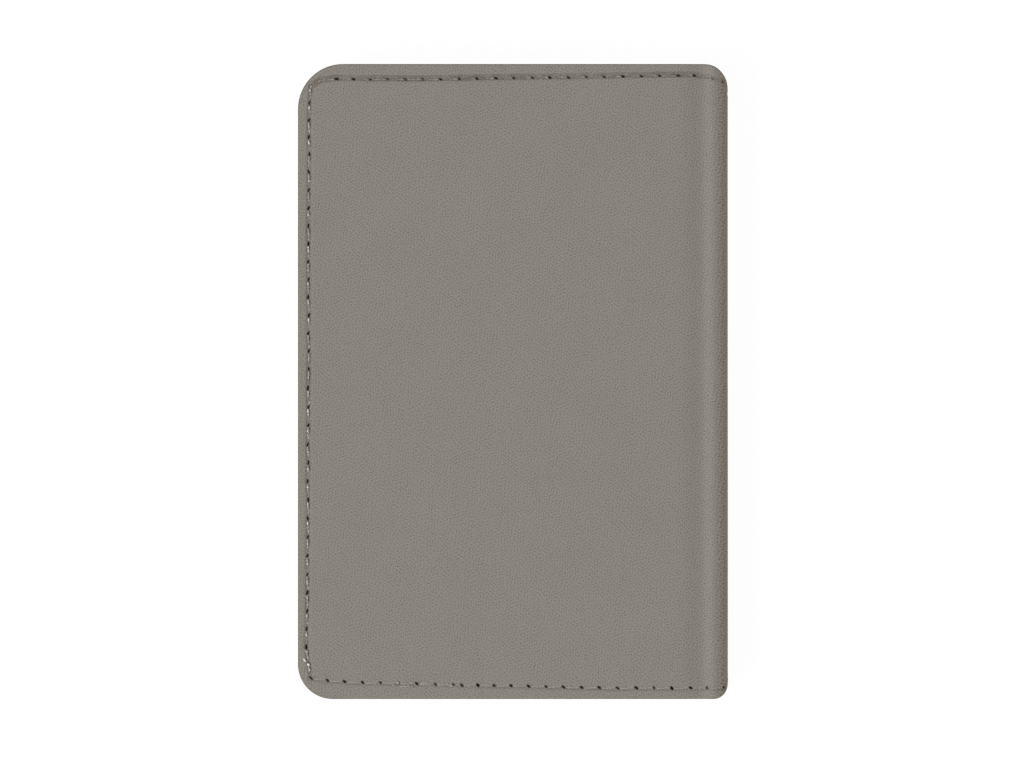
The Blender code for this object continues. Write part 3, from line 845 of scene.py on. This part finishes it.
def twill_cloth(name):
    """Fine twill: slanted ribs of yarn, crossed by finer ones, with uneven yarns."""
    material, tree, shader = new_finish(name, roughness=0.85, specular=0.25)
    shader.inputs["Sheen Weight"].default_value = 0.25
    shader.inputs["Sheen Roughness"].default_value = 0.5
    place = blank_place(tree, TWILL_STEP)
    uneven = clouds(tree, place, YARN_CLOUDS)
    parts = add_node(tree, "SeparateXYZ", (("Vector", place),))
    slanted = sum_up(tree, "ADD", parts.outputs[0], parts.outputs[1])
    slanted = sum_up(tree, "ADD", slanted, sum_up(tree, "MULTIPLY", uneven, YARN_WAVER))
    rib = sum_up(tree, "SINE", sum_up(tree, "MULTIPLY", slanted, 2 * math.pi), 0.0)
    pick = sum_up(tree, "SINE", sum_up(tree, "MULTIPLY", parts.outputs[1], 4 * math.pi), 0.0)
    crossing = spread(tree, pick, -1, 1, 0.0, PICK_HEIGHT)
    height = sum_up(tree, "ADD", spread(tree, rib, -1, 1), crossing)
    patches = spread(tree, uneven, *CLOUD_SPAN, *YARN_PATCHES)
    share = sum_up(tree, "ADD", spread(tree, height, *TWILL_SPAN), patches, clamp=True)
    colour = blend_colours(tree, share, TWILL_DARK, TWILL_LIGHT)
    finish_with(tree, shader, colour, height, strength=0.8, distance=TWILL_DEPTH)
    return material


lining_twill = twill_cloth("lining_twill")


def pressed(face_depth, lines, share):
    """An inner face, which the seams press back towards the skin."""
    def depth(places):
        return face_depth - np.max([line.relief(places, share) for line in lines], axis=0)
    return depth


for half, side in SIDES.items():
    seam = seams[half]
    outline, joined = blank_outline(spine_line(seam))
    near_spine = [part[part[:, 0] < GUTTER_END] for part in seam.places(SEAM_LINES[2:-2], INNER_SEAM_STEPS)]
    gutter = fold_places(roll_rows=18, groove_rows=6, end=13 * MM, step=3)
    groups = [(near_spine[0], 0), (near_spine[1], STITCH_GAP), (gutter, RING_GAP),
              (plain_fill(18, 10, *SPARSE_YS), CLOTH_GAP)]
    inside = within(spread_out(groups), outline, FOLD_GAP)
    sewn_face = pressed(LINING_FACES[1], [seam], CLOTH_SEAM_SHARE)
    lining = cut_sheet(f"{side}_lining_cloth", outline, joined, inside, sewn_face, level(LINING_FACES[0]),
                       CLOTH_ARRIS, lay, half, (lining_twill, lining_twill))
    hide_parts(f"{side}_lining", "spine_lining")
    fold_blend(lining, half)


# The pocket panels
# Each half has a twill backing and three stepped pockets of thin pebbled leather, 0.5 mm thick.
# A pocket's mouth is creased and painted, the panel is sewn into the edge seam on its three open
# sides, and a seam of its own closes it beside the spine.

PANEL_X = 31.25 * MM
SIDE_SEAM_X = 29.25 * MM
BACKING_FACES = (2.48 * MM, 2.86 * MM)
LEAF_FACES = ((2.92 * MM, 3.52 * MM), (3.6 * MM, 4.2 * MM), (4.28 * MM, 4.9 * MM))
MOUTHS = (38.0 * MM, 29.5 * MM, 21.0 * MM)
LEAF_ARRIS = 0.1 * MM
LEAF_SEAM_SHARE = 0.45
# How much of the channel darkening, pressed leather and painted shade, a pocket leaf gets.
POCKET_CHANNEL_SHADE_SHARE = 0.5
CREASE_INSET = 1.9 * MM
CREASE_WIDTH = 0.26 * MM
CREASE_DEPTH = 0.1 * MM
CREASE_GAP = 0.2 * MM
PANEL_GAP = 1.2 * MM
PANEL_EDGE_GAP = 0.16 * MM
CREASE_REACHES = np.arange(10.8, 78.8, 1.0) * MM
CREASE_ROWS = np.array((-0.6, -0.4, -0.26, -0.13, 0, 0.13, 0.26, 0.4, 0.6)) * MM
INNER_STITCH = 3.07 * MM
SIDE_SEAM_TOP = 51.2 * MM
SIDE_SEAM_BOTTOM = -50.9 * MM

leaf_leather = pebbled_leather("pocket_leather")
side_stitches = round((SIDE_SEAM_TOP - SIDE_SEAM_BOTTOM) / INNER_STITCH)
side_seam_ys = np.linspace(SIDE_SEAM_TOP, SIDE_SEAM_BOTTOM, side_stitches + 1)
side_seam = Seam(rows(reach_of(SIDE_SEAM_X), side_seam_ys))


def panel_places(outline, lines, mouth):
    """Places on a panel: at its seams, along the crease under its mouth, and a sparse fill."""
    found = [line.places(SEAM_LINES[1:-1], INNER_SEAM_STEPS) for line in lines]
    groups = [(np.concatenate([rings for rings, _ in found]), 0)]
    groups.append((np.concatenate([beside for _, beside in found]), STITCH_GAP))
    if mouth is not None:
        crease = lattice(CREASE_REACHES, mouth - CREASE_INSET + CREASE_ROWS)
        groups.append((crease, CREASE_GAP))
    groups.append((plain_fill(12, 3), PANEL_GAP))
    return within(spread_out(groups), outline, PANEL_EDGE_GAP)


for half, side in SIDES.items():
    lines = [seams[half], side_seam]

    # Painted shade, with the pressed leather's darkening, along the seams' channels.
    def channel_shade(places):
        return POCKET_CHANNEL_SHADE_SHARE * np.max([line.channel(places) for line in lines], axis=0)

    # Painted shade inside the seams' needle holes.
    def shade_in_holes(places):
        return np.max([line.hole_shade(places) for line in lines], axis=0)

    outline = panel_outline(PANEL_X, TOP_Y, True)
    inside = panel_places(outline, lines, None)
    sewn_backing = pressed(BACKING_FACES[1], lines, CLOTH_SEAM_SHARE)
    backing = flat_sheet(f"{side}_pocket_backing_cloth", outline, inside, sewn_backing,
                         level(BACKING_FACES[0]), CLOTH_ARRIS, half, (lining_twill, lining_twill))
    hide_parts(f"{side}_pocket_backing")
    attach(backing, f"{side}_half")

    for number, (mouth, (under, face)) in enumerate(zip(MOUTHS, LEAF_FACES), start=1):
        outline = panel_outline(PANEL_X, mouth, False)
        inside = panel_places(outline, lines, mouth)
        sewn_face = pressed(face, lines, LEAF_SEAM_SHARE)

        def creased(places):
            from_crease = np.abs(places[:, 1] - mouth + CREASE_INSET)
            return sewn_face(places) - CREASE_DEPTH * (1 - smooth_share(from_crease, 0, CREASE_WIDTH))

        leaf = flat_sheet(f"{side}_pocket_{number}_leather", outline, inside, creased, level(under),
                          LEAF_ARRIS, half, (leaf_leather, cover_edge),
                          {"pressed": channel_shade, "hole_shade": shade_in_holes})
        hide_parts(f"{side}_pocket_{number}")
        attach(leaf, f"{side}_half")


# The sewing thread
# Bonded three-ply polyester, 0.35 mm thick, close to the leather's colour with a slight gloss.
# The needle thread lies in the channel of the skin and the bobbin thread on the inner face. They
# lock inside the leather, so each stitch comes out of one slit and goes down into the next.

THREAD_COLOUR = (0.36, 0.34, 0.297, 1)
THREAD_DARK = (0.24, 0.224, 0.19, 1)
# Painted highlight: pale specks that stand in for glints on the filaments.
GLINT_COLOUR = (0.78, 0.755, 0.69, 1)
PLIES = 3
PLY_RADIUS = 0.088 * MM
PLY_LAY = 0.092 * MM
TWIST_TURN = 1.75 * MM
NEEDLE_DIVE = 0.95 * MM
BOBBIN_REST = -0.15 * MM
BOBBIN_DIVE = 0.28 * MM
DIVE_START_SHARE = 1.5
DIVE_END_SHARE = 0.4
SLIT_SHIFT = 0.12 * MM
BOBBIN_FALL = 0.1 * MM
LEAN_TURN = 2.2
LEAN_EASE = 6
NEEDLE_STEPS = 22
BOBBIN_STEPS = 14
NEEDLE_SIDES = 6
BOBBIN_SIDES = 5
OUTWARD = 0.1 * MM
DRAWN_IN_SPAN = 0.2
DRAWN_IN_SHADE = 0.42
REST_WANDER = 0.03 * MM
SUNK_FROM = 0.14 * MM
SUNK_TO = 0.4 * MM
STEP_DOWN = (0.15 * MM, 1.3 * MM)
PANEL_STEP_DOWN = (0.15 * MM, 1.6 * MM)
FIBRE_SIZE = 0.11 * MM
FIBRE_RELIEF = 0.015 * MM
GLINT_SPAN = (0.49, 0.6)


def piece_place(tree, size):
    """The place in the piece itself, counted in steps of a size."""
    return in_steps(tree, add_node(tree, "TexCoord").outputs["Object"], size)


def sewing_thread(name):
    """Glossy twisted filaments with painted highlight specks, and painted shade, dull, where a stitch is
    drawn into its channel and where the thread goes down into a hole.
    """
    material, tree, shader = new_finish(name, roughness=0.3, specular=0.6)
    place = piece_place(tree, FIBRE_SIZE)
    share = spread(tree, clouds(tree, place), *CLOUD_SPAN)
    base = blend_colours(tree, share, THREAD_DARK, THREAD_COLOUR)
    # Painted highlight specks on the filaments, strongest down the open side.
    glint_specks = spread(tree, clouds(tree, place, scale=0.3, detail=1.0), *GLINT_SPAN)
    glinted = sum_up(tree, "MULTIPLY", glint_specks, mark_on(tree, "glinted"))
    base = blend_colours(tree, glinted, base, GLINT_COLOUR)
    # Painted shade where the thread lies drawn into its channel or goes down into a hole.
    sunk_shade = mark_on(tree, "sunk_shade")
    colour = blend_colours(tree, sunk_shade, base, PAINTED_HOLE_SHADE)
    finish_with(tree, shader, colour, share, strength=0.2, distance=FIBRE_RELIEF)
    tree.links.new(spread(tree, sunk_shade, 0.0, 1.0, 0.3, 1.0), shader.inputs["Roughness"])
    return material


thread_finish = sewing_thread("sewing_thread")


def unit(vectors):
    """Vectors of length one."""
    return vectors / np.maximum(np.linalg.norm(vectors, axis=1, keepdims=True), 1e-12)


def stitch_path(seam, steps, dive, rest=None):
    """A thread's places, its depth under the face that it lies on, and its marks, 0 to 1."""
    start, _, outward = seam.stitches()
    end = seam.holes[1:]
    shift = SLIT_SHIFT * seam.slit_ways
    rests = seam.rest if rest is None else np.full(len(seam.holes), rest)
    falls = seam.fall if rest is None else np.full(len(seam.holes), BOBBIN_FALL)
    chance = np.random.default_rng(steps)
    places, depths, sunk_shade, glinted = [], [], [], []
    for stitch in range(len(start)):
        length = np.linalg.norm(end[stitch] - start[stitch])
        out, into = start[stitch] + shift[stitch], end[stitch] - shift[stitch + 1]
        wander = chance.normal(0, REST_WANDER)
        for share in np.linspace(0, 1, steps, endpoint=False):
            hole = stitch if share < 0.5 else stitch + 1
            from_hole = min(share, 1 - share) * length / seam.lengths[hole]
            down = seam.open[hole] * (1 - smooth_share(from_hole, DIVE_END_SHARE, DIVE_START_SHARE))
            held = seam.held[stitch]
            drawn = smooth_share(share, held - DRAWN_IN_SPAN, held + DRAWN_IN_SPAN)
            lies = rests[stitch] + falls[stitch] * drawn + wander * math.sin(math.pi * share)
            eased = min(1, LEAN_EASE * share, LEAN_EASE * (1 - share))
            lean = seam.thread_lean[stitch] * (1 - LEAN_TURN * share) * eased
            laid = out + (into - out) * share + lean * outward[stitch]
            places.append(laid if share > 0 else start[stitch])
            depths.append(lies + (dive - lies) * down)
            # Painted shade on the thread: past its drawn-in share in the channel, and where it dives into a
            # hole.
            in_shade = DRAWN_IN_SHADE * drawn * (falls[stitch] > BOBBIN_FALL)
            sunk_shade.append(max(in_shade, smooth_share((dive - lies) * down, SUNK_FROM, SUNK_TO)))
            # The stitch's share of painted highlight specks.
            glinted.append(seam.rub[stitch])
    places.append(end[-1])
    depths.append(dive)
    sunk_shade.append(1.0)
    glinted.append(0.0)
    return np.array(places), np.array(depths), {"sunk_shade": np.array(sunk_shade), "glinted": np.array(glinted)}


def rings_round(middles, radii, one_way, other_way, sides):
    """A ring of points round each middle, in the plane of its two ways."""
    turns = 2 * math.pi * np.arange(sides)[:, None] / sides
    return middles[:, None] + radii * (np.cos(turns) * one_way[:, None] + np.sin(turns) * other_way[:, None])


def tubes(name, strands, finish):
    """Closed tubes, each one through its own rings of points."""
    faces = []
    first = 0
    for rings in strands:
        count, sides = rings.shape[:2]
        for base in range(first, first + (count - 1) * sides, sides):
            for corner in range(sides):
                ahead = (corner + 1) % sides
                faces.append((base + corner, base + ahead, base + sides + ahead, base + sides + corner))
        faces.append(tuple(first + corner for corner in reversed(range(sides))))
        faces.append(tuple(first + (count - 1) * sides + corner for corner in range(sides)))
        first += count * sides
    mesh = bpy.data.meshes.new(name)
    points = np.concatenate([rings.reshape(-1, 3) for rings in strands])
    mesh.from_pydata(points.tolist(), [], faces)
    mesh.polygons.foreach_set("use_smooth", [True] * len(faces))
    return put_in_scene(name, mesh, [finish])


def twisted_thread(name, path, out, marks, sides):
    """Three plies twisted round a path. Out points away from the face that the thread lies on."""
    along = unit(np.gradient(path, axis=0))
    beside = unit(np.cross(out, along))
    over = np.cross(along, beside)
    run = np.concatenate([[0], np.cumsum(np.linalg.norm(np.diff(path, axis=0), axis=1))])
    plies = []
    for ply in range(PLIES):
        turn = 2 * math.pi * (run / TWIST_TURN + ply / PLIES)
        middle = path + PLY_LAY * (np.cos(turn)[:, None] * over + np.sin(turn)[:, None] * beside)
        plies.append(rings_round(middle, PLY_RADIUS, over, beside, sides))
    thread = tubes(name, plies, thread_finish)
    for mark, amounts in marks.items():
        corners = np.tile(np.repeat(amounts, sides), PLIES).astype(np.float32)
        thread.data.attributes.new(mark, "FLOAT", "POINT").data.foreach_set("value", corners)
    return thread


def inner_face(places):
    """How deep the innermost face lies, where a thread steps down past each leaf and the panel."""
    faces = [face for _, face in LEAF_FACES[::-1]] + [BACKING_FACES[1]]
    depth = np.full(len(places), faces[0])
    for mouth, above, below in zip(MOUTHS[::-1], faces, faces[1:]):
        depth -= (above - below) * smooth_share(places[:, 1] - mouth, *STEP_DOWN)
    past_panel = smooth_share(across(places[:, 0]) - PANEL_X, *PANEL_STEP_DOWN)
    return depth + (LINING_FACES[1] - depth) * past_panel


def needle_thread(name, seam, half):
    """A needle thread, in its channel on the skin."""
    places, depths, marks = stitch_path(seam, NEEDLE_STEPS, NEEDLE_DIVE)
    path = lay_leather(places, depths, half)
    out = unit(lay_leather(places, depths - OUTWARD, half) - path)
    return twisted_thread(name, path, out, marks, NEEDLE_SIDES)


def bobbin_thread(name, seam, half):
    """A bobbin thread, on the innermost faces."""
    places, depths, marks = stitch_path(seam, BOBBIN_STEPS, BOBBIN_DIVE, BOBBIN_REST)
    depths = inner_face(places) - depths
    path = lay(places, depths, half)
    out = unit(lay(places, depths + OUTWARD, half) - path)
    return twisted_thread(name, path, out, marks, BOBBIN_SIDES)


for half, side in SIDES.items():
    needle = needle_thread(f"{side}_seam_needle_thread", seams[half], half)
    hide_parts(f"{side}_edge_needle_thread", "spine_top_needle_thread",
                "spine_bottom_needle_thread")
    fold_blend(needle, half)

    bobbin = bobbin_thread(f"{side}_seam_bobbin_thread", seams[half], half)
    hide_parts(f"{side}_edge_bobbin_thread", "spine_top_bobbin_thread",
                "spine_bottom_bobbin_thread")
    fold_blend(bobbin, half)

    closing = bobbin_thread(f"{side}_pocket_closing_thread", side_seam, half)
    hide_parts(f"{side}_pocket_side_seam")
    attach(closing, f"{side}_half")

    for number in (1, 2):
        refinish(f"{side}_pocket_{number}_stop_seam", thread_finish)


# The melted thread ends
# Where the seam was started and closed at the tail, the thread's ends were cut off and melted to
# hard pale beads, and a few filaments stand clear and catch the light.

MELTED_COLOURS = ((0.66, 0.637, 0.59, 1), (0.78, 0.763, 0.73, 1))
LOOSE_COLOURS = ((0.31, 0.296, 0.264, 1), (0.41, 0.394, 0.356, 1))
CLOUD_SIZE = 0.15 * MM
CLOUD_RELIEF = 0.02 * MM
CLOUDY_SPAN = (0.35, 0.65)
END_RINGS = 11
END_SIDES = 8
END_TIP = 0.98
END_BLUNTNESS = 4
MELTED_ENDS = (
    (0.16, ((-36.2, -48.08, 0.1), (-36.1, -48.25, 0.14), (-35.98, -48.44, 0.1))),
    (0.22, ((-35.46, -48.98, 0.08), (-35.4, -49.12, 0.08))),
)
LOOSE_ENDS = (
    (0.11, ((-36.0, -46.5, 0.04), (-35.85, -46.85, 0.06), (-35.68, -47.2, 0.03))),
    (0.2, ((-20.05, -52.14, 0.03), (-19.88, -52.2, 0.03))),
    (0.12, ((-20.8, -52.62, 0.02), (-20.62, -52.56, 0.02))),
    (0.1, ((-19.6, -52.78, 0.0), (-18.6, -52.84, 0.03), (-17.9, -52.6, 0.0))),
    (0.16, ((-17.7, -52.26, 0), (-17.4, -52.2, 0))),
    (0.08, ((-16.1, -52.5, 0.01), (-15.6, -52.2, 0.03), (-15.2, -52.12, 0.04), (-14.7, -52.35, 0.02))),
    (0.12, ((-14.35, -52.7, 0), (-14.25, -52.85, 0))),
    (0.14, ((-11.45, -52.4, 0), (-11.25, -52.42, 0))),
    (0.17, ((-10.78, -52.62, 0.04), (-10.62, -52.74, 0.04))),
)


def melted_ends(name, ends, finish):
    """Short round-ended strands, each given by its radius and its places across, up and above."""
    shares = np.linspace(0, 1, END_RINGS)
    strands = []
    for radius, places in ends:
        known = np.linspace(0, 1, len(places))
        x, y, above = (np.interp(shares, known, column) for column in np.transpose(places) * MM)
        path = lay_leather(rows(reach_of(x), y), -above, BACK)
        along = unit(np.gradient(path, axis=0))
        from_middle = 2 * shares - 1
        radii = radius * MM * np.sqrt(1 - np.clip(np.abs(from_middle), 0, END_TIP) ** END_BLUNTNESS)
        path += along * (from_middle * radius * MM)[:, None]
        beside = unit(np.cross(along, (0, 0, 1)))
        over = np.cross(beside, along)
        strands.append(rings_round(path, radii[:, None, None], beside, over, END_SIDES))
    return tubes(name, strands, finish)


def cloudy_finish(name, roughness, specular, colours):
    """Polyester that has been melted or rubbed: glassy, with cloudy spots and a slightly wavy skin."""
    material, tree, shader = new_finish(name, roughness, specular)
    spots = clouds(tree, piece_place(tree, CLOUD_SIZE))
    colour = blend_colours(tree, spread(tree, spots, *CLOUDY_SPAN), *colours)
    finish_with(tree, shader, colour, spots, strength=0.3, distance=CLOUD_RELIEF)
    return material


melted = cloudy_finish("melted_thread", 0.22, 0.8, MELTED_COLOURS)
loose = cloudy_finish("loose_filaments", 0.35, 0.6, LOOSE_COLOURS)
for name, ends, finish in (("melted", MELTED_ENDS, melted), ("loose", LOOSE_ENDS, loose)):
    thread_ends = melted_ends(f"back_{name}_thread_ends", ends, finish)
    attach(thread_ends, "back_half")


# The floor, the light and the camera
# A white table under pale light from all round, with one wide soft lamp towards the lower left.
# The camera looks straight down on the back cover, as the photograph does.

FLOOR_WHITE = (0.9, 0.9, 0.9, 1)
SEEN_WHITE = (0.96, 0.96, 0.96, 1)
FAINT_GREY = (0.06, 0.06, 0.06, 1)


def straight_view(tree, *kinds):
    """1 for a ray of one of the kinds, that looks straight at a thing, and 0 for other light."""
    rays = add_node(tree, "LightPath")
    seen = 0.0
    for kind in kinds:
        seen = sum_up(tree, "MAXIMUM", seen, rays.outputs[kind])
    return seen


def white_floor():
    """A white table that keeps the wallet's shadow for the light and looks white to the eye."""
    material = bpy.data.materials.new("white_table")
    material.use_nodes = True
    tree = material.node_tree
    tree.nodes.clear()
    surface = add_node(tree, "OutputMaterial")
    lit = add_node(tree, "BsdfDiffuse", (("Color", FLOOR_WHITE),))
    faint = add_node(tree, "BsdfDiffuse", (("Color", FAINT_GREY),))
    glow = add_node(tree, "Emission", (("Color", SEEN_WHITE), ("Strength", 1.0)))
    seen = add_node(tree, "AddShader", ((0, faint.outputs[0]), (1, glow.outputs[0])))
    straight = straight_view(tree, "Is Camera Ray", "Is Glossy Ray", "Is Transmission Ray")
    values = ((0, straight), (1, lit.outputs[0]), (2, seen.outputs[0]))
    mixed = add_node(tree, "MixShader", values)
    tree.links.new(mixed.outputs[0], surface.inputs["Surface"])
    return material


FLOOR_HALF = 2.0
FLOOR_SINK = 0.28 * MM
floor_mesh = bpy.data.meshes.new("table_top")
floor_corners = [(-1, -1, 0), (1, -1, 0), (1, 1, 0), (-1, 1, 0)]
floor_mesh.from_pydata([Vector(corner) * FLOOR_HALF for corner in floor_corners], [], [(0, 1, 2, 3)])
floor = put_in_scene("table_top", floor_mesh, [white_floor()])
floor.location.z = -FLOOR_SINK

SKY_LEVEL = 0.53
world = bpy.data.worlds.new("pale_room")
bpy.context.scene.world = world
world.use_nodes = True
sky_tree = world.node_tree
sky = sky_tree.nodes["Background"]
sky.inputs["Color"].default_value = (1, 1, 1, 1)
sky_seen = straight_view(sky_tree, "Is Camera Ray", "Is Transmission Ray")
sky_tree.links.new(spread(sky_tree, sky_seen, 0, 1, SKY_LEVEL, 1.0), sky.inputs["Strength"])

LAMP_PLACE = Vector((-2.4, -1.2, 3.4))
LAMP_SIDE = 1.75
LAMP_POWER = 118
lamp_data = bpy.data.lights.new("soft_lamp", "AREA")
lamp_data.shape = "SQUARE"
lamp_data.size = LAMP_SIDE
lamp_data.energy = LAMP_POWER
lamp = put_in_scene("soft_lamp", lamp_data)
lamp.location = LAMP_PLACE
lamp.rotation_euler = LAMP_PLACE.to_track_quat("Z", "Y").to_euler()

CAMERA_HEIGHT = 2.4
SEEN_WIDTH = 177.4 * MM
CAMERA_SHIFT = (-0.17 * MM, -0.43 * MM)
SENSOR = 36.0
WALLET_TOP = 2 * MIDDLE
camera_data = bpy.data.cameras.new("overhead_camera")
camera_data.sensor_width = SENSOR
camera_data.lens = SENSOR * CAMERA_HEIGHT / SEEN_WIDTH
camera = put_in_scene("overhead_camera", camera_data)
camera.location = (*CAMERA_SHIFT, WALLET_TOP + CAMERA_HEIGHT)
bpy.context.scene.camera = camera
bpy.context.scene.view_settings.view_transform = "Standard"
